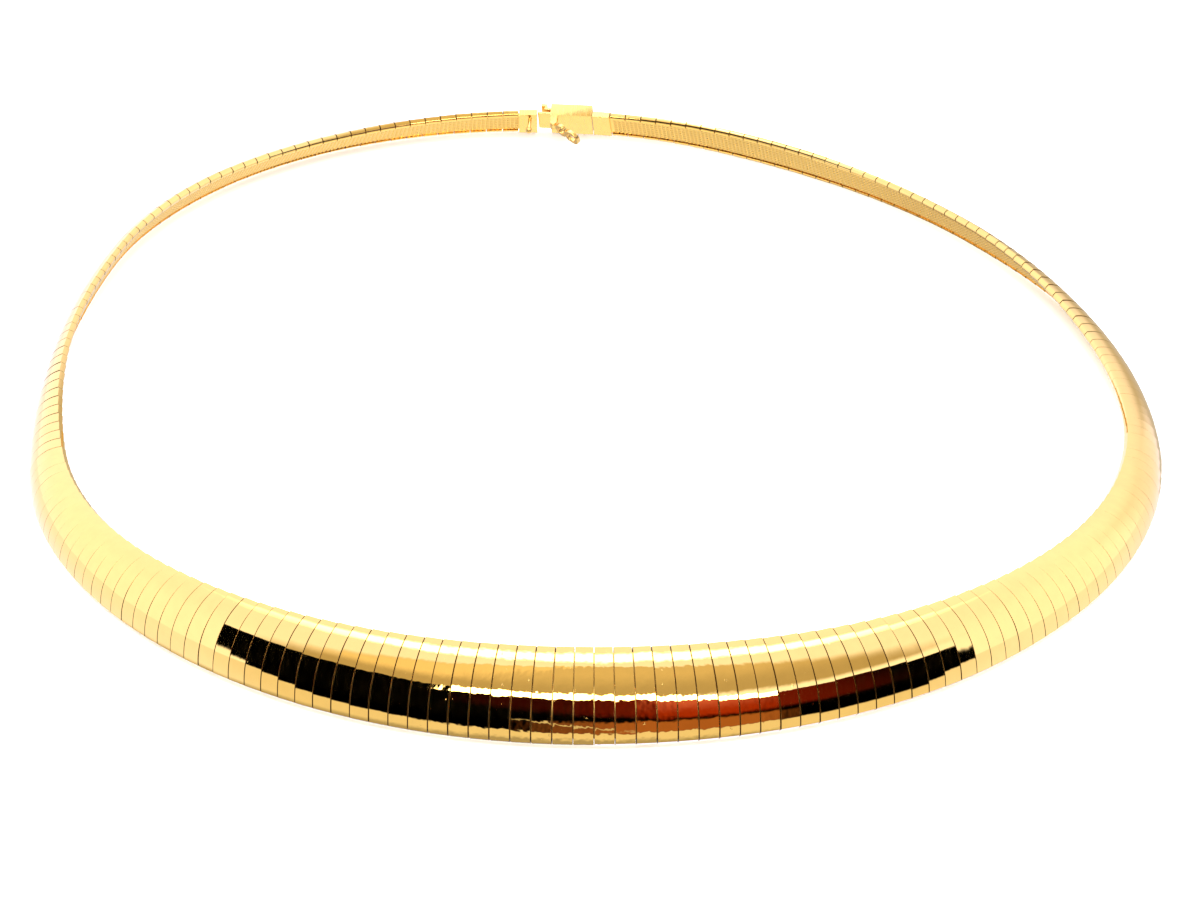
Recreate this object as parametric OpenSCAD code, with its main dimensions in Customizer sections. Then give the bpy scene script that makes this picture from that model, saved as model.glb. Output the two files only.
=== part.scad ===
// Omega necklace: domed plates folded round a woven strip, with a box clasp and a safety latch.
// It lies on a table. X runs right, Y away from the front, Z up from the table, in millimetres.
// The origin is on the table, in the middle of the neck opening.

/* [Loop] */
// Length of the whole loop along its centre line, clasp included
loop_length = 435; // [400:1:480]
// Turn of the front bow from the front centre to the right, in degrees
front_turn_right = 91; // [86:1:96]
// Turn of the front bow from the front centre to the left
front_turn_left = 83; // [78:1:88]
// Turn of the bow on the right
right_turn = 61; // [56:1:66]
// Turn of the bow at the back
back_turn = 103; // [98:1:108]
// Radius of the right bow over the radius of the front bow
right_bow = 1.4; // [1.3:0.01:1.5]

/* [Band] */
// Width of the band at the front centre
front_width = 10.3; // [8:0.1:12.5]
// Width of the band at the clasp
back_width = 4.1; // [3.8:0.1:5.5]
// Lean of the band towards the neck at the front centre, in degrees
front_tilt = 38; // [20:1:42]
// Lean of the band at the clasp
back_tilt = 30; // [26:1:36]
// Rise of the dome over the band's edges at the front centre
front_dome = 1.96; // [1.7:0.01:2.4]
// Rise of the dome over the band's edges at the clasp
back_dome = 0.78; // [0.7:0.01:0.95]
// Depth of the folded edges at the front centre
front_edge = 1.17; // [1:0.01:1.6]
// Depth of the folded edges at the clasp
back_edge = 0.74; // [0.7:0.01:1]

/* [Plates] */
// Pitch of the plates along the centre line, rounded so that whole plates fill the band
plate_pitch = 2.1; // [1.8:0.05:2.6]
// Gap between two plates at the centre line
plate_gap = 0.14; // [0.12:0.01:0.3]
// Thickness of the plates' sheet
sheet = 0.3; // [0.25:0.01:0.34]
// Reach of the fold over the strip, per width
fold_reach = 0.12; // [0.1:0.01:0.2]
// Clearance between the woven strip and the plates
core_clearance = 0.14; // [0.1:0.01:0.15]

/* [Clasp] */
// Shift of the clasp's centre from the middle of the back towards the right
clasp_shift = 1.06; // [0:0.01:4]
// Length of each end cap
cap_length = 2.4; // [2.2:0.1:4]
// Thickening of the end caps over the band's dome
cap_lip = 0.1; // [0:0.01:0.3]
// Depth of the strip's seat in each end cap
core_seat = 1.1; // [0.8:0.1:1.3]
// Length of the box
box_length = 5.4; // [5:0.05:8]
// Thickness of the box
box_depth = 1.75; // [1.6:0.05:2.2]
// Wall of the box
box_wall = 0.3; // [0.2:0.01:0.32]
// Open stretch between the box and the left cap, where the tongue shows
mouth_length = 1.9; // [1.8:0.1:3]
// Clearance where a straight clasp piece meets an end cap
end_clearance = 0.05; // [0.03:0.01:0.1]
// Clearance of the tongue in the box
tongue_clearance = 0.1; // [0.06:0.01:0.12]
// Thickness of the tongue's spring strip
tongue_strip = 0.3; // [0.2:0.01:0.32]
// Distance of the thumb tab from the box's mouth
tab_gap = 0.6; // [0.4:0.05:0.7]
// Rise of the thumb tab above the box
tab_rise = 0.5; // [0.35:0.05:1]
// Length of the thumb tab's folded top
tab_length = 0.8; // [0.5:0.05:1]
// Width of the thumb tab across the band
tab_width = 2.4; // [1.6:0.1:3]

/* [Safety latch] */
// Distance of the hinge pin and of the closed latch from the box's inner face
hinge_standoff = 1; // [0.9:0.05:1.1]
// Distance of the hinge pin from the box's mouth
hinge_inset = 0.5; // [0.45:0.05:0.8]
// Radius of the hinge pin
pin_r = 0.22; // [0.18:0.01:0.24]
// Radial clearance of the latch on its pin
pin_clearance = 0.05; // [0.03:0.01:0.07]
// Wall of the latch's barrel round its bore
barrel_wall = 0.2; // [0.15:0.01:0.22]
// Length of the latch's barrel
barrel_length = 0.7; // [0.5:0.05:0.8]
// Radius of the hinge lugs round the pin
lug_r = 0.42; // [0.38:0.01:0.44]
// Thickness of each hinge lug
lug_width = 0.3; // [0.2:0.01:0.35]
// Play of the latch beside and round the hinge lugs
lug_gap = 0.08; // [0.05:0.01:0.12]
// Thickness of the latch
latch_sheet = 0.5; // [0.4:0.05:0.6]
// Width of the latch's end ring
latch_width = 2; // [1.9:0.05:2.1]
// Metal round the latch's two holes
latch_rim = 0.45; // [0.35:0.01:0.47]
// Overlap of the latch's two rings at its waist
latch_waist = 0.35; // [0.25:0.01:0.4]
// Distance from the hinge pin to the centre of the latch's end ring
latch_reach = 3.2; // [3.1:0.05:3.4]
// Half the extra length of the end ring's oval hole
latch_oval = 0.15; // [0.12:0.01:0.2]
// Turn of the open latch from the closed one, in degrees
latch_open = 145; // [140:1:160]
// Distance of the peg from the end ring's centre when the latch is closed
peg_offset = 0.05; // [0:0.01:0.1]
// Distance of the peg's ball from the inner face
peg_reach = 2.1; // [2:0.05:2.2]
// Radius of the peg's ball
ball_r = 0.42; // [0.38:0.01:0.44]
// Radius of the peg
peg_r = 0.22; // [0.18:0.01:0.3]

/* [Hidden] */
// Overrun of a cut past the face that it opens, and of a soldered foot into its carrier
cut = 0.5;
solder = 0.15;

// Loop: four bows that meet smoothly, the back and left ones as large as closes it
left_turn = 360 - front_turn_right - right_turn - back_turn - front_turn_left;
bow_turns = [front_turn_right, right_turn, back_turn, left_turn, front_turn_left];
bow_ends = [for (i = 0, h = bow_turns[0]; i < 5; i = i + 1, h = h + (i < 5 ? bow_turns[i] : 0)) h];
bow_starts = [for (i = [0:4]) bow_ends[i] - bow_turns[i]];
function outward(heading) = [sin(heading), -cos(heading)];
function cross2(a, b) = a.x * b.y - a.y * b.x;
back_span = outward(bow_ends[2]) - outward(bow_ends[1]);
left_span = outward(bow_ends[3]) - outward(bow_ends[2]);
known_span = outward(bow_ends[3]) - outward(bow_ends[0])
           + right_bow * (outward(bow_ends[0]) - outward(bow_ends[1]));
back_bow = cross2(known_span, left_span) / cross2(back_span, left_span);
left_bow = cross2(back_span, known_span) / cross2(back_span, left_span);
bow_shares = [1, right_bow, back_bow, left_bow, 1];
function arc_length(radius, turn) = radius * turn * PI / 180;
function total(list, n) = n == 0 ? 0 : list[n - 1] + total(list, n - 1);
share_lengths = [for (i = [0:4]) arc_length(bow_shares[i], bow_turns[i])];
front_radius = loop_length / total(share_lengths, 5);
bow_radii = front_radius * bow_shares;
bow_lengths = front_radius * share_lengths;
function loose_centre(i) = i == 0 ? [0, 0]
    : loose_centre(i - 1) + (bow_radii[i - 1] - bow_radii[i]) * outward(bow_starts[i]);
function bow_of_heading(h, i = 0) = i == 4 || h <= bow_ends[i] ? i : bow_of_heading(h, i + 1);
function loose_point(h) =
    let (i = bow_of_heading(h)) loose_centre(i) + bow_radii[i] * outward(h);
loop_middle = [loose_point(90).x + loose_point(270).x, loose_point(0).y + loose_point(180).y] / 2;
bow_centres = [for (i = [0:4]) loose_centre(i) - loop_middle];

// A place on the loop is a distance along it from the front centre, positive to the right
function wrap(s) = s < 0 ? s + loop_length : s;
function bow_of(s, i = 0) = i == 4 || s <= total(bow_lengths, i + 1) ? i : bow_of(s, i + 1);
function heading_on(s, i) = bow_starts[i] + (s - total(bow_lengths, i)) / arc_length(bow_radii[i], 1);
function heading(s) = heading_on(wrap(s), bow_of(wrap(s)));
function place(s) =
    let (i = bow_of(wrap(s))) bow_centres[i] + bow_radii[i] * outward(heading(s));

// Section: width, lean and edge depth by the share of the way from the front centre to the back
function way_back(s) = let (t = wrap(s) / loop_length) t < 0.5 ? 2 * t : 2 - 2 * t;
taper_start = 2;
taper_power = 7.5;
function width_at(s) =
    back_width + (front_width - back_width) * pow(1 - pow(way_back(s), taper_start), taper_power);
function between(back, front, w) = back + (front - back) * (w - back_width) / (front_width - back_width);
function edge_at(s) = between(back_edge, front_edge, width_at(s));

// Twist of the band as it lies: a row holds a place, as a share of the loop from the front centre to
// the right, and the lean there in degrees. The lean eases from row to row.
PLACE = 0;
LEAN = 1;
twist = [[0, front_tilt], [0.1, 44], [0.2, 49], [0.27, 53], [0.36, 26], [0.43, 18], [0.495, back_tilt],
         [0.57, 40], [0.64, 31], [0.71, 22], [0.8, 46], [0.9, 39], [1, front_tilt]];
function row_after(share, i = 1) = share <= twist[i][PLACE] ? i : row_after(share, i + 1);
function tilt_at(s) =
    let (share = wrap(s) / loop_length, to = row_after(share), from = to - 1,
         way = (share - twist[from][PLACE]) / (twist[to][PLACE] - twist[from][PLACE]))
    twist[from][LEAN] + (twist[to][LEAN] - twist[from][LEAN]) * (1 - cos(180 * way)) / 2;

// Outer face of a plate over its edges, at the share q of the half width from the middle
dome_power = 2.2;
dome_steps = 8;
function dome(w, q) = between(back_dome, front_dome, w) * (1 - pow(abs(q), dome_power));
// Points across the band as [outward, up along the band], from the lower edge to the upper
function dome_line(w, half, inset) = [for (i = [0:dome_steps])
    let (y = half * (2 * i / dome_steps - 1)) [dome(w, 2 * y / w) - inset, y]];
function reversed(list) = [for (i = [len(list) - 1:-1:0]) list[i]];
function plate_outline(w, edge) =
    let (half = w / 2, inner = half - sheet, fold = half - fold_reach * w)
    concat(dome_line(w, half, 0),
           [[-edge, half], [-edge, fold], [sheet - edge, fold], [sheet - edge, inner]],
           reversed(dome_line(w, inner, sheet)),
           [[sheet - edge, -inner], [sheet - edge, -fold], [-edge, -fold], [-edge, -half]]);
function cap_outline(w, edge) =
    concat([[0, -w / 2]], dome_line(w, w / 2, -cap_lip), [[0, w / 2], [-edge, w / 2], [-edge, -w / 2]]);
// The strip fills the plates but for the clearance, which a seat in a cap makes smaller
core_side = 0.2;
function core_outline(w, edge, clearance) =
    let (half = w / 2 - sheet - core_side - clearance, back = sheet + clearance - edge,
         shoulder = dome(w, 2 * half / w) - sheet - clearance,
         crown = dome(w, half / w) - sheet - clearance)
    [[back, -half], [shoulder, -half], [crown, -half / 2],
     [crown, half / 2], [shoulder, half], [back, half]];

// The outline's origin stands at such a height that the band's lower edge touches the table
function stand_height(w, edge, tilt) = cos(tilt) * w / 2 + sin(tilt) * edge;
function lean(point, tilt) = [cos(tilt) * point.x - sin(tilt) * point.y,
                              sin(tilt) * point.x + cos(tilt) * point.y];
function leaned(outline, s) =
    let (tilt = tilt_at(s), lift = [0, stand_height(width_at(s), edge_at(s), tilt)])
    [for (p = outline) lean(p, tilt) + lift];

// Clasp: the straight box leaves a seam at the right cap, so that its leaning corner stays clear
back_edge_reach = sin(back_tilt) * back_width / 2 + cos(back_tilt) * back_edge;
corner_turn = back_edge_reach / bow_radii[2];
seam = end_clearance + box_length / 2 * corner_turn;
clasp_length = 2 * cap_length + box_length + mouth_length + seam;
clasp_middle = loop_length / 2 - clasp_shift;

// Band: from the left cap round the front to the right cap
band_right = clasp_middle - clasp_length / 2;
band_left = clasp_middle + clasp_length / 2 - loop_length;
plate_count = round((band_right - band_left) / plate_pitch);
true_pitch = (band_right - band_left) / plate_count;
left_count = floor(-band_left / true_pitch);

// A stretch of the band's bow, centred at the place s, with its outline in [outward, up] points
module bow_piece(s, length, outline) {
    i = bow_of(wrap(s));
    turn = length / arc_length(bow_radii[i], 1);
    translate(bow_centres[i])
        rotate_extrude(angle = turn, start = heading(s) - 90 - turn / 2)
            polygon([for (p = leaned(outline, s)) p + [bow_radii[i], 0]]);
}

module plate(s) {
    bow_piece(s, true_pitch - plate_gap, plate_outline(width_at(s), edge_at(s)));
}

module plate_row(first, last) {
    for (k = [first:last]) plate(band_left + (k + 0.5) * true_pitch);
}

module plates_left() {
    color("gold") plate_row(0, left_count - 1);
}

module plates_right() {
    color("gold") plate_row(left_count, plate_count - 1);
}

// The strip is swept through rings two plates apart, and its ends sit in the caps
module mesh_core() {
    reach = plate_gap + core_seat;
    length = band_right - band_left + 2 * reach;
    rings = round(length / (2 * true_pitch));
    corners = 6;
    points = [for (k = [0:rings])
        let (s = band_left - reach + length * k / rings, out = outward(heading(s)))
        for (p = leaned(core_outline(width_at(s), edge_at(s), core_clearance), s))
            [place(s).x + p.x * out.x, place(s).y + p.x * out.y, p.y]];
    sides = [for (k = [0:rings - 1], j = [0:corners - 1]) let (n = (j + 1) % corners)
        [k * corners + n, (k + 1) * corners + n, (k + 1) * corners + j, k * corners + j]];
    start_face = [for (j = [corners - 1:-1:0]) j];
    end_face = [for (j = [0:corners - 1]) rings * corners + j];
    color("goldenrod") polyhedron(points, concat(sides, [start_face, end_face]));
}

// The strip's end sits in the cap, on the side that faces the band
module end_cap(band_end, way) {
    seat = core_seat + plate_gap + core_clearance;
    middle = band_end + way * (cap_length / 2 + plate_gap / 4);
    at_seat = band_end + way * (seat - cut) / 2;
    w = width_at(middle);
    edge = edge_at(middle);
    difference() {
        bow_piece(middle, cap_length - plate_gap / 2, cap_outline(w, edge));
        bow_piece(at_seat, seat + cut, core_outline(w, edge, core_clearance / 2));
    }
}

// Frame of the clasp, at the middle of the box: X right, Y outward, Z up the band
box_at = band_right + cap_length + seam + box_length / 2;
clasp_width = width_at(box_at);
clasp_edge = edge_at(box_at);
module clasp_frame() {
    tilt = tilt_at(box_at);
    translate([place(box_at).x, place(box_at).y, stand_height(clasp_width, clasp_edge, tilt)])
        rotate([0, 0, heading(box_at) + 180])
            rotate([tilt, 0, 0])
                children();
}

mouth = -box_length / 2;
hinge = [mouth + hinge_inset, -clasp_edge - hinge_standoff];
latch_height = clasp_width / 2 - lug_width - lug_gap - barrel_length / 2;

module end_cap_right() {
    color("goldenrod") end_cap(band_right, 1);
}

module end_cap_left() {
    color("goldenrod") {
        end_cap(band_left, -1);
        clasp_frame() latch_peg();
    }
}

// The peg stands on the left cap, where the closed latch's end ring comes to lie
module latch_peg() {
    translate([hinge.x - latch_reach + peg_offset, -clasp_edge, latch_height]) {
        rotate([90, 0, 0])
            translate([0, 0, -cut])
                cylinder(h = cut + peg_reach, r = peg_r, $fn = 32);
        translate([0, -peg_reach, 0])
            sphere(r = ball_r, $fn = 32);
    }
}

module clasp_box() {
    color("gold") clasp_frame() {
        box_shell();
        hinge_lug(latch_height + barrel_length / 2 + lug_gap);
        hinge_lug(latch_height - barrel_length / 2 - lug_gap - lug_width);
        translate([hinge.x, hinge.y, latch_height])
            cylinder(h = barrel_length + 2 * lug_gap + lug_width, r = pin_r, center = true, $fn = 32);
    }
}

// The box is open at its mouth, towards the left
module box_shell() {
    difference() {
        translate([mouth, -clasp_edge, -clasp_width / 2])
            cube([box_length, box_depth, clasp_width]);
        translate([mouth - cut, box_wall - clasp_edge, box_wall - clasp_width / 2])
            cube([box_length - box_wall + cut, box_depth - 2 * box_wall, clasp_width - 2 * box_wall]);
    }
}

module hinge_lug(bottom) {
    translate([hinge.x, 0, bottom])
        linear_extrude(lug_width) {
            translate([0, hinge.y])
                circle(r = lug_r, $fn = 32);
            translate([-lug_r, hinge.y])
                square([2 * lug_r, hinge_standoff + solder]);
        }
}

// The tongue is one strip, folded back on itself inside the box, with its end raised as a thumb tab
module clasp_tongue() {
    height = box_depth - 2 * box_wall - 2 * tongue_clearance;
    bottom = box_wall + tongue_clearance - clasp_edge;
    tip = -mouth - box_wall - tongue_clearance;
    cap_face = mouth - mouth_length;
    foot = cap_face * (1 - corner_turn) + end_clearance;
    width = clasp_width - 2 * box_wall - 2 * tongue_clearance;
    tab = mouth - tab_gap - tongue_strip;
    tab_top = box_depth - clasp_edge + tab_rise;
    color("gold") clasp_frame() {
        translate([0, 0, -width / 2])
            linear_extrude(width) {
                translate([foot, bottom])
                    square([tip - height / 2 - foot, tongue_strip]);
                translate([tab, bottom + height - tongue_strip])
                    square([tip - height / 2 - tab, tongue_strip]);
                tongue_fold(tip - height / 2, bottom + height / 2, height / 2);
            }
        translate([0, 0, -tab_width / 2])
            linear_extrude(tab_width) {
                translate([tab, bottom + height - tongue_strip])
                    square([tongue_strip, tab_top - bottom - height + tongue_strip]);
                translate([tab + tongue_strip - tab_length, tab_top - tongue_strip])
                    square([tab_length, tongue_strip]);
            }
    }
}

module tongue_fold(x, y, radius) {
    translate([x, y])
        difference() {
            circle(r = radius, $fn = 32);
            circle(r = radius - tongue_strip, $fn = 32);
            translate([-2 * radius, -radius])
                square([2 * radius, 2 * radius]);
        }
}

module safety_latch() {
    color("gold") clasp_frame()
        translate([hinge.x, hinge.y, latch_height])
            rotate([0, 0, 180 + latch_open])
                latch_body();
}

// The latch lies along X from its pin, which runs along Z
module latch_body() {
    bore_r = pin_r + pin_clearance;
    barrel_r = bore_r + barrel_wall;
    end_r = latch_width / 2;
    near_start = lug_r + lug_gap;
    near_r = (latch_reach - latch_oval - end_r + latch_waist - near_start) / 2;
    difference() {
        union() {
            cylinder(h = barrel_length, r = barrel_r, center = true, $fn = 32);
            rotate([90, 0, 0])
                translate([0, 0, -latch_sheet / 2])
                    linear_extrude(latch_sheet)
                        difference() {
                            union() {
                                translate([0, -barrel_length / 2])
                                    square([near_start + latch_rim, barrel_length]);
                                translate([near_start + near_r, 0])
                                    circle(r = near_r, $fn = 48);
                                oval(end_r);
                            }
                            translate([near_start + near_r, 0])
                                circle(r = near_r - latch_rim, $fn = 48);
                            oval(end_r - latch_rim);
                        }
        }
        cylinder(h = barrel_length + cut, r = bore_r, center = true, $fn = 32);
    }
}

module oval(radius) {
    for (side = [-1, 1])
        translate([latch_reach + side * latch_oval, 0])
            circle(r = radius, $fn = 48);
    translate([latch_reach - latch_oval, -radius])
        square([2 * latch_oval, 2 * radius]);
}

plates_left();
plates_right();
mesh_core();
end_cap_left();
end_cap_right();
clasp_box();
clasp_tongue();
safety_latch();
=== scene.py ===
"""Omega necklace lying on a white table, in a pale studio with a dark opening in front of it."""

import math

import bpy
import numpy as np
from mathutils import Matrix, Vector


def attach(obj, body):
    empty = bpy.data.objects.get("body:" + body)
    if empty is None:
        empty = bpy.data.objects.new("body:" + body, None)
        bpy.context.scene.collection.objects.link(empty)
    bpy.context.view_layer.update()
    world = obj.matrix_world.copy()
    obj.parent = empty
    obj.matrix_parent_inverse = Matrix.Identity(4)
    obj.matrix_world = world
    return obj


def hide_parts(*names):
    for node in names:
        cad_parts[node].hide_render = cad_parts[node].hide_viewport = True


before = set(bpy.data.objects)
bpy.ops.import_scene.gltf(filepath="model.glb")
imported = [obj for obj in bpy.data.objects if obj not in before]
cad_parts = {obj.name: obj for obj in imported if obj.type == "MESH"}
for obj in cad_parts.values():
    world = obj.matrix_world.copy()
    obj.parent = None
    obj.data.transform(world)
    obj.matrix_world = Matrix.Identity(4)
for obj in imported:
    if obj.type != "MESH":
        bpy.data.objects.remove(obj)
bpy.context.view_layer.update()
MM = 0.001
rng = np.random.default_rng(7)

# Loop of the band in millimetres, with the degrees that its bows turn, from the front to the right
LOOP_LENGTH = 435.0
BOW_TURNS = [91.0, 61.0, 103.0, 22.0, 83.0]
BACK_BOW, LAST_BOW = 2, 4

# Radius of the right bow over the radius of the front bow
RIGHT_BOW = 1.4

# Section of the band: width, lean, depth of the folded edges and rise of the dome, and their taper
FRONT_WIDTH, BACK_WIDTH = 10.3, 4.1
FRONT_TILT, BACK_TILT = 38.0, 30.0
FRONT_EDGE, BACK_EDGE = 1.17, 0.74
FRONT_DOME, BACK_DOME = 1.96, 0.78
DOME_POWER = 2.2
TAPER_START, TAPER_POWER = 2.0, 7.5

# Plates, strip and clasp as in the CAD model, where the fold's reach is a share of the width
PLATE_PITCH, PLATE_GAP, SHEET, FOLD_REACH = 2.1, 0.14, 0.3, 0.12
CORE_CLEARANCE, CORE_SIDE, CORE_SEAT = 0.14, 0.2, 1.1
CLASP_SHIFT, CAP_LENGTH = 1.06, 2.4
BOX_LENGTH, MOUTH_LENGTH, END_CLEARANCE = 5.4, 1.9, 0.05

# Twist of the lying band: share of the loop from the front centre to the right, and the lean there
TWIST_PLACES = [0, 0.1, 0.2, 0.27, 0.36, 0.43, 0.495, 0.57, 0.64, 0.71, 0.8, 0.9, 1]
TWIST_LEANS = [FRONT_TILT, 44, 49, 53, 26, 18, BACK_TILT, 40, 31, 22, 46, 39, FRONT_TILT]


def outward(heading):
    """Unit vector that points out of the loop where its way has this heading, in degrees."""
    a = math.radians(heading)
    return np.array([math.sin(a), -math.cos(a)])


class Loop:
    """The centre line of the band on the table: four smooth bows, the front one in two parts."""

    def __init__(self):
        self.ends = np.cumsum(BOW_TURNS)
        self.starts = self.ends - np.array(BOW_TURNS)
        out = [outward(h) for h in self.ends]
        spans = np.array([out[2] - out[1], out[3] - out[2]]).T
        known = out[3] - out[0] + RIGHT_BOW * (out[0] - out[1])
        back, left = np.linalg.solve(spans, known)
        shares = np.array([1, RIGHT_BOW, back, left, 1])
        lengths = shares * np.radians(BOW_TURNS)
        scale = LOOP_LENGTH / lengths.sum()
        self.radii = shares * scale
        self.offsets = np.concatenate([[0], np.cumsum(lengths * scale)])
        centre = np.zeros(2)
        self.centres = [centre]
        for i in range(1, LAST_BOW + 1):
            centre = centre + (self.radii[i - 1] - self.radii[i]) * outward(self.starts[i])
            self.centres.append(centre)
        edge = {h: self._at_heading(h) for h in (0, 90, 180, 270)}
        middle = np.array([edge[90][0] + edge[270][0], edge[0][1] + edge[180][1]]) / 2
        self.centres = [c - middle for c in self.centres]

    def _at_heading(self, h):
        i = min(int(np.searchsorted(self.ends, h)), LAST_BOW)
        return self.centres[i] + self.radii[i] * outward(h)

    def bow(self, s):
        """Index of the bow at the place s, which is a length along the loop from the front centre."""
        return min(max(int(np.searchsorted(self.offsets, s % LOOP_LENGTH)) - 1, 0), LAST_BOW)

    def heading(self, s):
        i = self.bow(s)
        return self.starts[i] + math.degrees((s % LOOP_LENGTH - self.offsets[i]) / self.radii[i])

    def place(self, s):
        i = self.bow(s)
        return self.centres[i] + self.radii[i] * outward(self.heading(s))


def way_back(s):
    """0 at the front centre and 1 at the middle of the back, on either side."""
    t = s % LOOP_LENGTH / LOOP_LENGTH
    return 2 * t if t < 0.5 else 2 - 2 * t


def width_at(s):
    taper = (1 - way_back(s) ** TAPER_START) ** TAPER_POWER
    return BACK_WIDTH + (FRONT_WIDTH - BACK_WIDTH) * taper


def tilt_at(s):
    share = s % LOOP_LENGTH / LOOP_LENGTH
    to = max(int(np.searchsorted(TWIST_PLACES, share)), 1)
    start, end = TWIST_PLACES[to - 1], TWIST_PLACES[to]
    eased = (1 - math.cos(math.pi * (share - start) / (end - start))) / 2
    return TWIST_LEANS[to - 1] + (TWIST_LEANS[to] - TWIST_LEANS[to - 1]) * eased


def between(back, front, w):
    """The value where the band is w wide, from the values at the clasp and at the front centre."""
    return back + (front - back) * (w - BACK_WIDTH) / (FRONT_WIDTH - BACK_WIDTH)


def edge_at(s):
    return between(BACK_EDGE, FRONT_EDGE, width_at(s))


def dome(w, q):
    """Rise of the dome on a band w wide, where q is 0 in the band's middle and 1 at its edge."""
    return between(BACK_DOME, FRONT_DOME, w) * (1 - abs(q) ** DOME_POWER)


loop = Loop()
corner_reach = (math.sin(math.radians(BACK_TILT)) * BACK_WIDTH / 2
                + math.cos(math.radians(BACK_TILT)) * BACK_EDGE)
SEAM = END_CLEARANCE + BOX_LENGTH / 2 * corner_reach / loop.radii[BACK_BOW]
CLASP_LENGTH = 2 * CAP_LENGTH + BOX_LENGTH + MOUTH_LENGTH + SEAM
CLASP_MIDDLE = LOOP_LENGTH / 2 - CLASP_SHIFT
BAND_RIGHT = CLASP_MIDDLE - CLASP_LENGTH / 2
BAND_LEFT = CLASP_MIDDLE + CLASP_LENGTH / 2 - LOOP_LENGTH
PLATES = round((BAND_RIGHT - BAND_LEFT) / PLATE_PITCH)
PITCH = (BAND_RIGHT - BAND_LEFT) / PLATES
LEFT_PLATES = math.floor(-BAND_LEFT / PITCH)


def band_frame(s):
    """Origin and axes of the band's section at s: along the way, outward from the dome, up the band."""
    tilt = math.radians(tilt_at(s))
    out = outward(loop.heading(s))
    along = np.array([-out[1], out[0], 0])
    flat_out = np.array([out[0], out[1], 0])
    rise = np.array([0, 0, 1])
    normal = flat_out * math.cos(tilt) + rise * math.sin(tilt)
    up = -flat_out * math.sin(tilt) + rise * math.cos(tilt)
    height = math.cos(tilt) * width_at(s) / 2 + math.sin(tilt) * edge_at(s)
    origin = np.array([*loop.place(s), height])
    return origin, along, normal, up


def smooth(mesh, sharp_angle):
    """Shades a mesh smooth, but for edges that turn by more than sharp_angle degrees."""
    mesh.polygons.foreach_set("use_smooth", [True] * len(mesh.polygons))
    mesh.set_sharp_from_angle(angle=math.radians(sharp_angle))


def mesh_object(name, verts, faces, sharp_angle=28.0):
    """A smooth mesh object from points in millimetres."""
    mesh = bpy.data.meshes.new(name)
    mesh.from_pydata((np.asarray(verts) * MM).tolist(), [], faces)
    mesh.validate()
    smooth(mesh, sharp_angle)
    mesh.update()
    piece = bpy.data.objects.new(name, mesh)
    bpy.context.scene.collection.objects.link(piece)
    return piece


# Node trees, with the places of the sockets on a node that mixes colours

MIX_SHARE, MIX_LOW, MIX_HIGH, MIX_RESULT = 0, 6, 7, 2


class Tree:
    """Adds nodes to a tree. A value for one is a number, a colour, a socket or a Number."""

    def __init__(self, tree):
        self.nodes, self.links = tree.nodes, tree.links

    def feed(self, socket, value):
        """Sets a socket to a value, or links it to one."""
        if isinstance(value, Number):
            value = value.socket
        if isinstance(value, bpy.types.NodeSocket):
            self.links.new(value, socket)
        elif socket.type == "RGBA":
            socket.default_value = (*value, 1)
        else:
            socket.default_value = value

    def add(self, kind, **inputs):
        """A new node with its inputs fed by name, where an underscore stands for a space."""
        node = self.nodes.new("ShaderNode" + kind)
        for name, value in inputs.items():
            self.feed(node.inputs[name.replace("_", " ")], value)
        return node

    def maths(self, operation, *values):
        node = self.add("Math")
        node.operation = operation
        for socket, value in zip(node.inputs, values):
            self.feed(socket, value)
        return node.outputs[0]

    def product(self, values):
        result, *others = values
        for value in others:
            result = self.maths("MULTIPLY", result, value)
        return result

    def remap(self, value, low, high, start=0.35, end=0.65):
        """low where the value is at start or before, high at end or past it, and even between."""
        node = self.add("MapRange", Value=value, From_Min=start, From_Max=end, To_Min=low, To_Max=high)
        return node.outputs["Result"]

    def rise(self, value, start, end):
        """0 where the value is at start or before, 1 at end or past it, and smooth between."""
        node = self.add("MapRange", Value=value, From_Min=start, From_Max=end)
        node.interpolation_type = "SMOOTHSTEP"
        return node.outputs["Result"]

    def mix(self, share, low, high):
        """The colour low where the share is 0, and high where it is 1."""
        node = self.add("Mix")
        node.data_type = "RGBA"
        self.feed(node.inputs[MIX_SHARE], share)
        self.feed(node.inputs[MIX_LOW], low)
        self.feed(node.inputs[MIX_HIGH], high)
        return node.outputs[MIX_RESULT]

    def noise(self, cells, detail=2.0, stretch=(1.0, 1.0, 1.0)):
        """Noise on object coordinates, with this many cells in a metre."""
        coords = self.add("TexCoord").outputs["Object"]
        stretched = self.add("Mapping", Vector=coords, Scale=stretch).outputs["Vector"]
        return self.add("TexNoise", Vector=stretched, Scale=cells, Detail=detail).outputs["Fac"]

    def relief(self, layers):
        """The normal under bump layers, each a height, a depth in metres and a strength."""
        normal = None
        for height, depth, strength in layers:
            node = self.add("Bump", Height=height, Distance=depth, Strength=strength)
            if normal is not None:
                self.feed(node.inputs["Normal"], normal)
            normal = node.outputs["Normal"]
        return normal


class Number:
    """A number that a tree works out. Arithmetic with it adds math nodes."""

    def __init__(self, tree, socket):
        self.tree, self.socket = tree, socket

    def maths(self, operation, *others):
        return Number(self.tree, self.tree.maths(operation, self, *others))

    def __add__(self, other):
        return self.maths("ADD", other)

    def __sub__(self, other):
        return self.maths("SUBTRACT", other)

    def __mul__(self, other):
        return self.maths("MULTIPLY", other)

    def __truediv__(self, other):
        return self.maths("DIVIDE", other)


def new_material(name):
    """A new material with its tree and its shader."""
    material = bpy.data.materials.new(name)
    material.use_nodes = True
    tree = Tree(material.node_tree)
    return material, tree, tree.nodes["Principled BSDF"]


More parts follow.
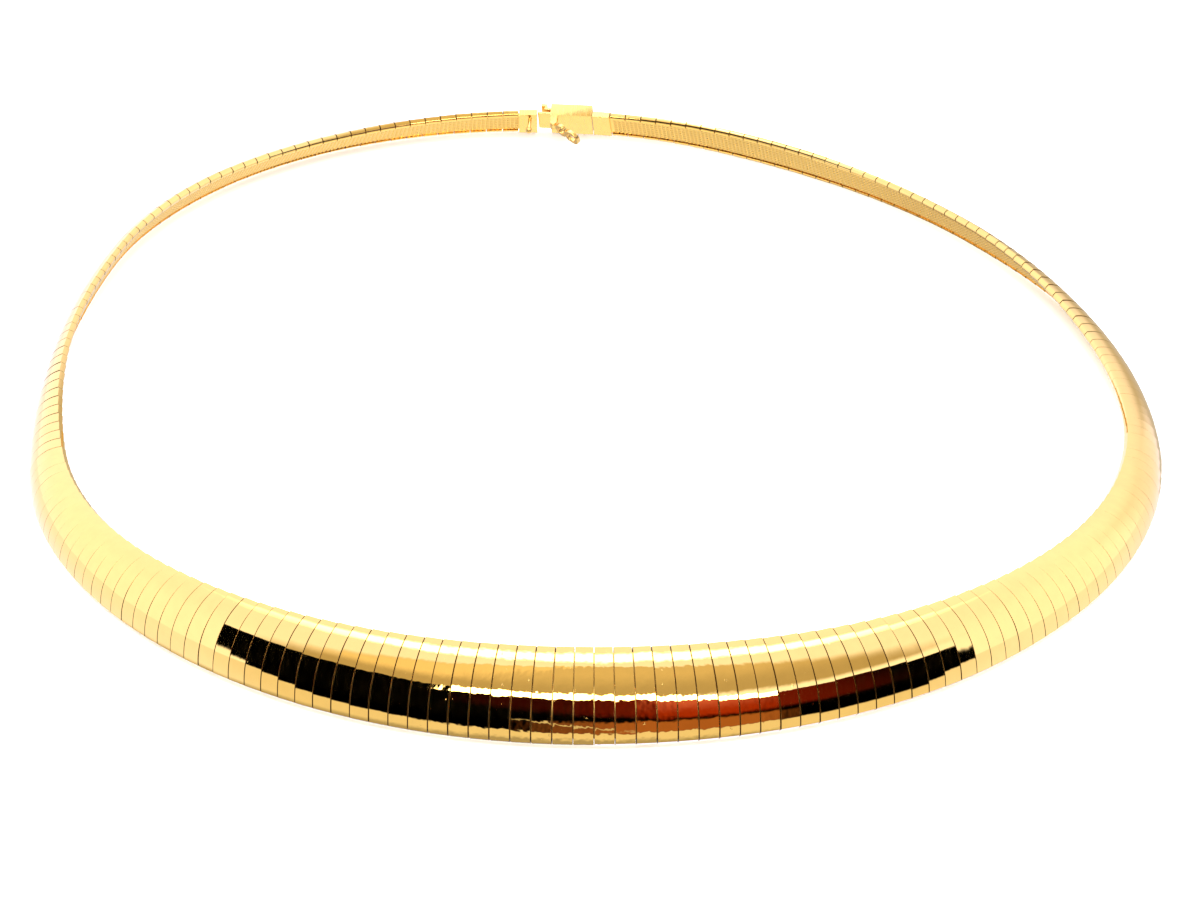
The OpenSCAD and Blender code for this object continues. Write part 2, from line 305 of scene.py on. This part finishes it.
def set_materials(piece, *materials):
    piece.data.materials.clear()
    for material in materials:
        piece.data.materials.append(material)


# Gold: noise as cells in a metre, detail and stretch, and the depth of its relief in metres

TONES = (900, 3)
SCRATCHES = (2600, 4, (1.0, 0.22, 0.22))
WAVES = (420, 1)
DENTS = (1300, 1)
SCUFFS = (2200, 5, (1.0, 0.4, 0.7))
WAVE_DEPTH, SCRATCH_DEPTH, DENT_DEPTH, SCUFF_DEPTH = 0.0002, 0.00004, 0.00003, 0.00005
SCRATCH_STRENGTH = 0.02
SCUFF_START, SCUFF_END = 0.72, 0.76
DARK_TONE = 0.965

# Wear: its strength round the middle of the front and beyond, and where it fades, in millimetres
WEAR_MIDDLE, WEAR_BEYOND = 0.55, 0.05
WEAR_INNER, WEAR_OUTER = 10.0, 26.0


def wear_layers(tree):
    """Small dents and a few scuffs round the middle of the front, fading out to both sides."""
    coords = tree.add("TexCoord").outputs["Object"]
    reach = tree.maths("ABSOLUTE", tree.add("SeparateXYZ", Vector=coords).outputs["X"])
    wear = tree.remap(reach, WEAR_MIDDLE, WEAR_BEYOND, WEAR_INNER * MM, WEAR_OUTER * MM)
    scuffs = tree.remap(tree.noise(*SCUFFS), 0.0, 1.0, SCUFF_START, SCUFF_END)
    return [(tree.noise(*DENTS), DENT_DEPTH, wear), (scuffs, SCUFF_DEPTH, wear)]


def polished_gold(name, colour, roughness=(0.015, 0.045), wave=0.05, worn=False):
    """Gold with faint waves, fine scratches and a slight change of tone."""
    material, tree, shader = new_material(name)
    shader.inputs["Metallic"].default_value = 1.0
    tone = tree.remap(tree.noise(*TONES), 0.0, 1.0)
    tree.feed(shader.inputs["Base Color"], tree.mix(tone, [c * DARK_TONE for c in colour], colour))
    scratches = tree.noise(*SCRATCHES)
    tree.feed(shader.inputs["Roughness"], tree.remap(scratches, *roughness))
    layers = [(tree.noise(*WAVES), WAVE_DEPTH, wave), (scratches, SCRATCH_DEPTH, SCRATCH_STRENGTH)]
    if worn:
        layers += wear_layers(tree)
    tree.feed(shader.inputs["Normal"], tree.relief(layers))
    return material


plate_gold = polished_gold("plate_gold", (0.95, 0.60, 0.165), worn=True)
clasp_gold = polished_gold("clasp_gold", (0.94, 0.60, 0.18), roughness=(0.2, 0.3), wave=0.1)
# Dark gold for the plates' bevels and end faces: painted shade of the deep gaps between the plates,
# which also dulls the glints on the bevels
gap_shade_gold = polished_gold("gap_shade_gold", (0.34, 0.18, 0.04), roughness=(0.3, 0.5), wave=0.1)
woven_gold = polished_gold("woven_gold", (0.9, 0.58, 0.16), roughness=(0.25, 0.36), wave=0.1)


# Plates: bevelled at their ends, and each a little askew, in degrees

BEVEL = 0.025
FOLD_CORNER, CORNER_STEPS = 0.32, 5
DOME_ROOT, DOME_STEPS = -0.08, 40
ASKEW = 0.5

# Depth polished off the outside of the CAD solids, and reach past their ends
POLISH, END_REACH = 0.03, 0.02

# Which of the faces between a plate's rings are its outside and its inside; the others, its bevels and
# ends, take the dark gold as painted shade of the gaps
OUTER_FACE, INNER_FACE = 1, 4


def plate_line(w, edge):
    """Outer line of the folded plate as [outward, up], from the end of the lower fold to the upper."""
    half = w / 2 - POLISH
    back = POLISH - edge
    lower = [[back, FOLD_REACH * w - half]]
    for a in np.radians(np.linspace(180, 270, CORNER_STEPS + 1)):
        lower.append([back + FOLD_CORNER * (1 + math.cos(a)), FOLD_CORNER * (1 + math.sin(a)) - half])
    lower.append([DOME_ROOT, -half])
    heights = half * np.sin(np.radians(np.linspace(-90, 90, DOME_STEPS + 1)))
    front = [[dome(w, 2 * y / w) - POLISH, y] for y in heights]
    upper = [[x, -y] for x, y in reversed(lower)]
    return np.array(lower + front + upper)


def inward_normals(line):
    """Normals of an open line, turned to the side where the strip is."""
    step = np.gradient(line, axis=0)
    step /= np.linalg.norm(step, axis=1)[:, None]
    return np.stack([-step[:, 1], step[:, 0]], axis=1)


def plate_rings(s):
    """The rings of the plate at s, as places along the way from its middle and their lines."""
    outer = plate_line(width_at(s), edge_at(s))
    into = inward_normals(outer)
    eased, inner = outer + into * BEVEL, outer + into * SHEET
    half = (PITCH - PLATE_GAP) / 2 + END_REACH
    return [(-half, eased), (BEVEL - half, outer), (half - BEVEL, outer), (half, eased),
            (half, inner), (-half, inner)]


def add_plate(s, verts, faces, shaded_faces):
    """Adds the plate at s to verts and faces, and the numbers of its bevels and end faces, painted dark
    as shade of the gaps, to the list given.
    """
    rings = plate_rings(s)
    origin, along, normal, up = band_frame(s)
    radius = loop.radii[loop.bow(s)]
    tilt = math.radians(tilt_at(s))
    turn, roll = np.radians(rng.uniform(-ASKEW, ASKEW, 2))
    spin = np.array(Matrix.Rotation(turn, 3, Vector(up)) @ Matrix.Rotation(roll, 3, Vector(along)))
    start, count, n = len(verts), len(rings), len(rings[0][1])
    for x, line in rings:
        for out, y in line:
            reach = math.cos(tilt) * out - math.sin(tilt) * y
            local = along * x * (1 + reach / radius) + normal * out + up * y
            verts.append(origin + spin @ local)
    for r in range(count):
        a, b = start + r * n, start + (r + 1) % count * n
        # Faces other than the outside and inside take the dark gold: painted shade in the gaps between
        # plates
        if r not in (OUTER_FACE, INNER_FACE):
            shaded_faces += range(len(faces), len(faces) + n - 1)
        faces += [(a + i, b + i, b + i + 1, a + i + 1) for i in range(n - 1)]
    faces.append(tuple(start + r * n for r in reversed(range(count))))
    faces.append(tuple(start + r * n + n - 1 for r in range(count)))


def build_plates(name, node, numbers):
    verts, faces, shaded_faces = [], [], []
    for k in numbers:
        add_plate(BAND_LEFT + (k + 0.5) * PITCH, verts, faces, shaded_faces)
    piece = mesh_object(name, verts, faces)
    set_materials(piece, plate_gold, gap_shade_gold)
    # The bevels and end faces get the second material: painted shade in the gaps between plates
    material_slots = np.zeros(len(faces), dtype=np.int32)
    material_slots[shaded_faces] = 1
    piece.data.polygons.foreach_set("material_index", material_slots)
    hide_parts(node)
    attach(piece, "necklace")


build_plates("domed_plates_left", "plates_left", range(LEFT_PLATES))
build_plates("domed_plates_right", "plates_right", range(LEFT_PLATES, PLATES))


# Woven strip: a base with slanted wire stitches on a raised bed that faces the neck

BASE_RING = 1.0
BED_RISE, BED_SLOPE = 0.24, 0.1
FOLD_SPACE = 0.03
STITCH_PITCH, STITCH_ROWS, STITCH_SLANT = 0.55, 7, 14.0
STITCH_GIRTH, STITCH_RISE, STITCH_SINK = 0.27, 0.1, 0.02
STITCH_SIDES = 5

# Half the length of a stitch over the width of its row, and its rings over half its length
STITCH_REACH = 0.6
STITCH_RINGS = [-1.0, -0.62, 0.0, 0.62, 1.0]
STITCH_TIP = 0.2
WOVEN_SHARP = 50


def open_width(w):
    """Width between the ends of the plates' folds."""
    return w - 2 * FOLD_REACH * w - 2 * FOLD_SPACE


def core_back(edge):
    """Place of the strip's back, outward from the origin of the section."""
    return SHEET + CORE_CLEARANCE - edge


def core_line(w, edge):
    """Section of the strip as [outward, up], inside the plates."""
    half = w / 2 - SHEET - CORE_SIDE - CORE_CLEARANCE
    back = core_back(edge)
    shoulder = dome(w, 2 * half / w) - SHEET - CORE_CLEARANCE
    crown = dome(w, half / w) - SHEET - CORE_CLEARANCE
    bed = open_width(w) / 2
    return [[back, -half], [shoulder, -half], [crown, -half / 2], [crown, half / 2], [shoulder, half],
            [back, half], [back, bed], [back - BED_RISE, bed - BED_SLOPE],
            [back - BED_RISE, BED_SLOPE - bed], [back, -bed]]


def strip_base(verts, faces):
    reach = PLATE_GAP + CORE_SEAT
    start, end = BAND_LEFT - reach, BAND_RIGHT + reach
    count = round((end - start) / BASE_RING)
    for k in range(count + 1):
        s = start + (end - start) * k / count
        origin, along, normal, up = band_frame(s)
        verts += [origin + normal * out + up * y for out, y in core_line(width_at(s), edge_at(s))]
    n = len(core_line(FRONT_WIDTH, FRONT_EDGE))
    for k in range(count):
        a, b = k * n, (k + 1) * n
        faces += [(a + i, b + i, b + (i + 1) % n, a + (i + 1) % n) for i in range(n)]
    faces.append(tuple(range(n)))
    faces.append(tuple(reversed(range(count * n, count * n + n))))


def stitch(verts, faces, centre, axis, across, lift, length):
    """Half a wire loop: a slim flattened bar that lies along axis and rises from the strip."""
    start = len(verts)
    for t in STITCH_RINGS:
        size = max(math.sqrt(1 - t * t), STITCH_TIP)
        for a in np.linspace(0, math.pi, STITCH_SIDES):
            verts.append(centre + axis * (t * length) + across * (STITCH_GIRTH * size * math.cos(a))
                         + lift * (STITCH_RISE * size * math.sin(a)))
    for r in range(len(STITCH_RINGS) - 1):
        a = start + r * STITCH_SIDES
        b = a + STITCH_SIDES
        faces += [(a + i, a + i + 1, b + i + 1, b + i) for i in range(STITCH_SIDES - 1)]


def stitch_across(s, verts, faces):
    """The stitches side by side at s, which slant by turns to either side."""
    w, edge = width_at(s), edge_at(s)
    origin, along, normal, up = band_frame(s)
    row = (open_width(w) - 2 * BED_SLOPE) / STITCH_ROWS
    foot = core_back(edge) - BED_RISE + STITCH_SINK
    for j in range(STITCH_ROWS):
        y = (j + 0.5 - STITCH_ROWS / 2) * row
        slant = math.radians(STITCH_SLANT if j % 2 else -STITCH_SLANT)
        axis = math.cos(slant) * up + math.sin(slant) * along
        across = math.cos(slant) * along - math.sin(slant) * up
        centre = origin + normal * foot + up * y
        stitch(verts, faces, centre, axis, across, -normal, row * STITCH_REACH)


def woven_strip():
    verts, faces = [], []
    strip_base(verts, faces)
    for k in range(int((BAND_RIGHT - BAND_LEFT) / STITCH_PITCH)):
        stitch_across(BAND_LEFT + (k + 0.5) * STITCH_PITCH, verts, faces)
    piece = mesh_object("woven_strip", verts, faces, WOVEN_SHARP)
    set_materials(piece, woven_gold)
    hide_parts("mesh_core")
    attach(piece, "necklace")


woven_strip()


# Clasp: the CAD pieces with eased edges, as node, name, body and width of the bevels

CLASP_PIECES = [
    ("end_cap_left", "cap_with_peg", "necklace", 0.07),
    ("end_cap_right", "plain_cap", "necklace", 0.07),
    ("clasp_box", "box_with_hinge", "necklace", 0.06),
    ("clasp_tongue", "tongue_with_tab", "necklace", 0.04),
    ("safety_latch", "figure_eight_latch", "latch", 0.08),
]
WELD_REACH = 0.002
BEVEL_SEGMENTS = 2
BEVEL_ANGLE, CLASP_SHARP = 40, 20


def eased(node, name, body, width):
    """A copy of a CAD piece with bevelled edges, a little inside the solid."""
    piece = bpy.data.objects.new(name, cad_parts[node].data.copy())
    bpy.context.scene.collection.objects.link(piece)
    weld = piece.modifiers.new("weld", "WELD")
    weld.merge_threshold = WELD_REACH * MM
    bevel = piece.modifiers.new("bevel", "BEVEL")
    bevel.width = width * MM
    bevel.segments = BEVEL_SEGMENTS
    bevel.limit_method = "ANGLE"
    bevel.angle_limit = math.radians(BEVEL_ANGLE)
    graph = bpy.context.evaluated_depsgraph_get()
    mesh = bpy.data.meshes.new_from_object(piece.evaluated_get(graph))
    piece.modifiers.clear()
    piece.data = mesh
    smooth(mesh, CLASP_SHARP)
    set_materials(piece, clasp_gold)
    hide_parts(node)
    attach(piece, body)


for clasp_piece in CLASP_PIECES:
    eased(*clasp_piece)


# Camera, fitted to the photo's outline of the loop: lens in pixels of the photo, angle in degrees

LENS_PX, FRAME_PX, SENSOR = 5015.8, 1200.0, 36.0
ELEVATION, DISTANCE = 28.843, 591.11
SHIFT_X, SHIFT_UP = 0.90, -5.74
CLIP_START, CLIP_END = 0.01, 20


def set_camera():
    e = math.radians(ELEVATION)
    look = Vector((0, math.cos(e), -math.sin(e)))
    up = Vector((0, math.sin(e), math.cos(e)))
    data = bpy.data.cameras.new("camera")
    data.sensor_width = SENSOR
    data.lens = LENS_PX / FRAME_PX * SENSOR
    data.clip_start, data.clip_end = CLIP_START, CLIP_END
    camera = bpy.data.objects.new("camera", data)
    place = -DISTANCE * look + Vector((SHIFT_X, 0, 0)) + SHIFT_UP * up
    camera.location = place * MM
    camera.rotation_euler = look.to_track_quat("-Z", "Y").to_euler()
    bpy.context.scene.collection.objects.link(camera)
    bpy.context.scene.camera = camera


set_camera()
bpy.context.scene.view_settings.view_transform = "Standard"


# White table, which the gold doesn't reflect: the lower half of the studio stands for it there

FLOOR = 6000.0
TABLE_WHITE = (0.93, 0.925, 0.915)
TABLE_CELLS = 40
TABLE_ROUGHNESS = (0.55, 0.65)


def table_surface():
    material, tree, shader = new_material("white_table")
    tree.feed(shader.inputs["Base Color"], TABLE_WHITE)
    tree.feed(shader.inputs["Roughness"], tree.remap(tree.noise(TABLE_CELLS), *TABLE_ROUGHNESS))
    corners = [[-FLOOR, -FLOOR, 0], [FLOOR, -FLOOR, 0], [FLOOR, FLOOR, 0], [-FLOOR, FLOOR, 0]]
    piece = mesh_object("table", corners, [(0, 1, 2, 3)])
    set_materials(piece, material)
    piece.visible_glossy = False


table_surface()


# Studio by direction, in degrees: azimuth is 0 in front and rises to the right

WHITE = (1.0, 0.985, 0.96)
COOL = (0.97, 1.06, 1.5)
WARM = (1.0, 0.89, 0.68)
TABLE_LIGHT = 3.0

# Dark opening: how far round its ends are at the horizon, and how high its foot and top in front
OPENING_LEFT, OPENING_RIGHT = 66.0, 74.0
OPENING_FOOT, OPENING_TOP = -21.5, 42.2

# How the ends spread with elevation above the horizon, and draw in below it
LEFT_SPREAD, LEFT_DRAW, RIGHT_DRAW = 0.53, 1.0, 0.8

# How the foot rises to both sides, and the top falls to the right and dips there
FOOT_RISE, TOP_FALL, TOP_DIP = 0.12, 0.18, 7.0
DIP_LEFT, DIP_MIDDLE, DIP_RIGHT = 10, 34, 58

# Slant of the edges of the glow and of the gold streak, and bend of the lamp overhead
GLOW_SLANT, STREAK_SLANT = 0.5, 0.8
LAMP_BEND = 2.2

# Lowest height of a direction for which its place on the ceiling is still worked out
LOWEST = 0.05


def grey(strength, tint=WHITE):
    return [c * strength for c in tint]


class Fade:
    """A colour that goes from low to high as a measure goes from start to end."""

    def __init__(self, measure, start, end, low, high):
        self.edge = (measure, start, end)
        self.low, self.high = low, high


# Edges of patches: a measure, its value where the patch is absent and its value where it is full
FRONT_CEILING = [("over", 0.12, 0.02), ("side", 86, 66), ("elevation", 34, 40)]
UNDER_TOP = ("from_top", 0.5, -0.5)
ABOVE_FOOT = ("from_foot", -1, 1)

WALLS = Fade("elevation", 30, 60, grey(1.5, COOL), grey(1.35, COOL))

# Patches as edges and colour, each laid over the walls and over the patches before it
PATCHES = [
    # Ceiling over the front, and its brighter left part
    (FRONT_CEILING, Fade("elevation", 45, 75, grey(0.6, WARM), grey(0.85, WARM))),
    (FRONT_CEILING + [("azimuth", -22, -48), ("elevation", 48, 60)], grey(1.15, WARM)),
    # White table all round, and its brighter part below
    ([("elevation", 1, -1)], Fade("side", 58, 84, grey(1.0), grey(1.3, COOL))),
    ([("elevation", -40, -56)], grey(1.4)),
    # Shaded table behind on the left
    ([("azimuth", -85, -150), ("elevation", -28, -40), ("elevation", -70, -60)], (0.33, 0.28, 0.2)),
    # Wall behind on the right, and a darker part of it
    ([("azimuth", 120, 136), ("azimuth", 185, 169), ("elevation", 40, 20), ("elevation", -44, -36)],
     (1.2, 1.24, 1.65)),
    ([("azimuth", 149, 155), ("azimuth", 178, 172), ("elevation", 24, 4), ("elevation", -44, -36)],
     (0.66, 0.64, 0.6)),
    # Shaded strip of the table close in front, darker: painted shade in what the gold reflects
    ([("side", 130, 100), ("elevation", -47, -41), ("elevation", -27, -33)], grey(0.5)),
    # Dark opening in front
    ([("from_left", -1, 1), ("from_right", -1, 1), UNDER_TOP, ABOVE_FOOT], grey(0.0)),
    # Maroon glow in the opening, and a red one in that
    ([("azimuth", -30, -18), ("azimuth", 62, 34), ("glow", 4, 16), ("elevation", 1, 8), UNDER_TOP],
     Fade("azimuth", -10, 12, (0.03, 0.002, 0.001), (0.16, 0.012, 0.003))),
    ([("azimuth", 7, 17), ("azimuth", 37, 27), ("elevation", -2, 6), UNDER_TOP],
     Fade("elevation", 8, 34, (0.42, 0.04, 0.004), (0.75, 0.18, 0.16))),
    # Brown streak along the opening's foot, and a thin gold one
    ([("azimuth", -16, -6), ("azimuth", 39, 29), ("elevation", -1, -5), ABOVE_FOOT],
     Fade("azimuth", -8, 10, (0.2, 0.08, 0.035), (0.46, 0.17, 0.06))),
    ([("azimuth", -17, -11), ("azimuth", 8, 2), ("streak", -14.3, -12.7), ("streak", -10.7, -12.3)],
     grey(0.8)),
    # Thin lamp along the opening's top
    ([("azimuth", -34, -31), ("azimuth", 36, 33), ("from_top", -6.6, -5.4), ("from_top", 1.6, 0.4)],
     grey(14.0)),
    # Long lamp overhead
    ([("bent", 0.1, 0.2), ("bent", 0.47, 0.37), ("height", 0.5, 0.6), ("beside", 0.46, 0.2)],
     grey(7.0)),
]


def measures(tree):
    """What the edges are measured by, worked out from a direction."""
    direction = tree.add("TexCoord").outputs["Generated"]
    x, y, height = [Number(tree, part) for part in tree.add("SeparateXYZ", Vector=direction).outputs]
    elevation = height.maths("ARCSINE") * math.degrees(1)
    azimuth = x.maths("ARCTAN2", y * -1.0) * math.degrees(1)
    side = azimuth.maths("ABSOLUTE")
    above, below = elevation.maths("MAXIMUM", 0.0), elevation.maths("MINIMUM", 0.0)
    raised = height.maths("MAXIMUM", LOWEST)
    over, beside = y / raised, x / raised
    dip = Number(tree, tree.rise(azimuth, DIP_LEFT, DIP_MIDDLE))
    dip = dip * tree.rise(azimuth, DIP_RIGHT, DIP_MIDDLE)
    return {
        "azimuth": azimuth,
        "elevation": elevation,
        "side": side,
        "height": height,
        "over": over,
        "beside": beside.maths("ABSOLUTE"),
        "bent": over - beside * beside * LAMP_BEND,
        "from_left": azimuth + above * LEFT_SPREAD + below * LEFT_DRAW + OPENING_LEFT,
        "from_right": below * RIGHT_DRAW + OPENING_RIGHT - azimuth,
        "from_top": elevation + azimuth.maths("MAXIMUM", 0.0) * TOP_FALL + dip * TOP_DIP - OPENING_TOP,
        "from_foot": elevation - side * FOOT_RISE - OPENING_FOOT,
        "glow": elevation + azimuth * GLOW_SLANT,
        "streak": elevation + azimuth * STREAK_SLANT,
    }


def studio():
    """World light: even for the table, and set by direction for what the gold reflects."""
    world = bpy.data.worlds.new("studio")
    world.use_nodes = True
    tree = Tree(world.node_tree)
    measured = measures(tree)

    def share(measure, start, end):
        return tree.rise(measured[measure], start, end)

    def paint(colour):
        if isinstance(colour, Fade):
            return tree.mix(share(*colour.edge), colour.low, colour.high)
        return colour

    colour = paint(WALLS)
    for edges, patch in PATCHES:
        colour = tree.mix(tree.product([share(*edge) for edge in edges]), colour, paint(patch))
    path = tree.add("LightPath")
    colour = tree.mix(path.outputs["Is Glossy Ray"], grey(TABLE_LIGHT), colour)
    tree.feed(tree.nodes["Background"].inputs["Color"], colour)
    bpy.context.scene.world = world


studio()
